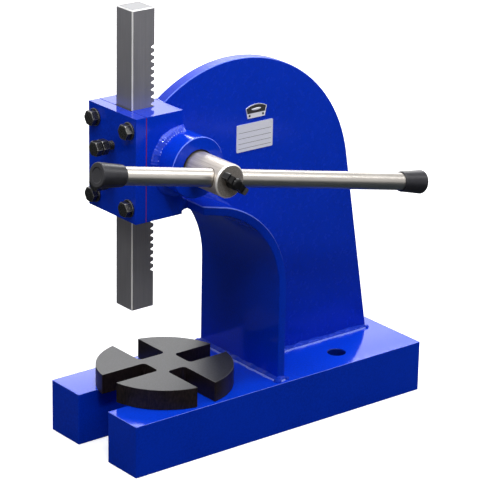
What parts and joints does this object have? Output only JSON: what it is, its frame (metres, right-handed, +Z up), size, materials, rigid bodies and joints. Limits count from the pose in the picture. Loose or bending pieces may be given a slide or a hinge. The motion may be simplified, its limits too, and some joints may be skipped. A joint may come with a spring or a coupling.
{
  "type": "rack and pinion press",
  "caption": "Bench arbor press with a welded plate frame, a square toothed ram driven by a hand lever through a pinion, and a turning slotted arbor plate.",
  "frame": {"origin": "middle of the base's underside", "axes": "+X to the lever side, -Y to the front, +Z up"},
  "size_m": [0.228, 0.4994, 0.5122],
  "materials": {
    "blue_paint": "glossy hammered enamel",
    "black_oxide": "satin black oxide",
    "ground_steel": "ground, bright edges",
    "bright_steel": "drawn and brushed",
    "rubber": "moulded",
    "brass": "machined",
    "fibre": "pressed sheet",
    "plate_silver": "satin",
    "knob_plastic": "moulded"
  },
  "bodies": {
    "frame": {"base_plate": "blue_paint", "web_plate": "blue_paint", "throat_plate": "blue_paint", "rack_housing": "blue_paint", "pinion_boss": "blue_paint", "base_welds": "blue_paint", "frame_welds": "blue_paint", "boss_welds": "blue_paint", "guide_cover": "blue_paint", "cover_shims": "fibre", "gib_strip": "brass", "cover_bolts": "black_oxide", "cover_washers": "black_oxide", "gib_screws": "black_oxide", "gib_lock_nuts": "black_oxide", "table_pivot": "bright_steel", "badge_plate": "plate_silver", "badge_rivets": "black_oxide", "data_plate": "plate_silver"},
    "pinion": {"pinion_shaft": "bright_steel", "thrust_washer": "bright_steel", "retaining_ring": "black_oxide"},
    "lever": {"lever_bar": "bright_steel", "lever_front_cap": "rubber", "lever_back_cap": "rubber"},
    "clamp_pad": {"clamp_pad": "brass"},
    "wing_screw": {"clamp_stud": "black_oxide", "wing_knob": "knob_plastic"},
    "ram": {"rack": "ground_steel"},
    "table": {"arbor_plate": "black_oxide"}
  },
  "joints": [
    {"name": "pinion_turn", "type": "hinge", "parent": "frame", "child": "pinion", "pos_m": [0, -0.1237, 0.344], "axis": [1, 0, 0], "range_deg": [-430, 301]},
    {"name": "rack_slide", "type": "slide", "parent": "frame", "child": "ram", "axis": [0, 0, 1], "range_m": [-0.0805, 0.115]},
    {"name": "lever_slide", "type": "slide", "parent": "pinion", "child": "lever", "axis": [0, 0.9781, -0.2079], "range_m": [-0.241, 0.113]},
    {"name": "clamp_slide", "type": "slide", "parent": "pinion", "child": "clamp_pad", "axis": [1, 0, 0], "range_m": [0, 0.0013]},
    {"name": "wing_turn", "type": "hinge", "parent": "clamp_pad", "child": "wing_screw", "pos_m": [0, -0.1237, 0.344], "axis": [1, 0, 0], "range_deg": [0, 360]},
    {"name": "plate_turn", "type": "hinge", "parent": "frame", "child": "table", "pos_m": [0, -0.11, 0.062], "axis": [0, 0, 1], "continuous": true}
  ],
  "couplings": [
    {"joint": "rack_slide", "follows": "pinion_turn", "m_per_rad": -0.0153},
    {"joint": "clamp_slide", "follows": "wing_turn", "m_per_rad": 0.00019894}
  ]
}
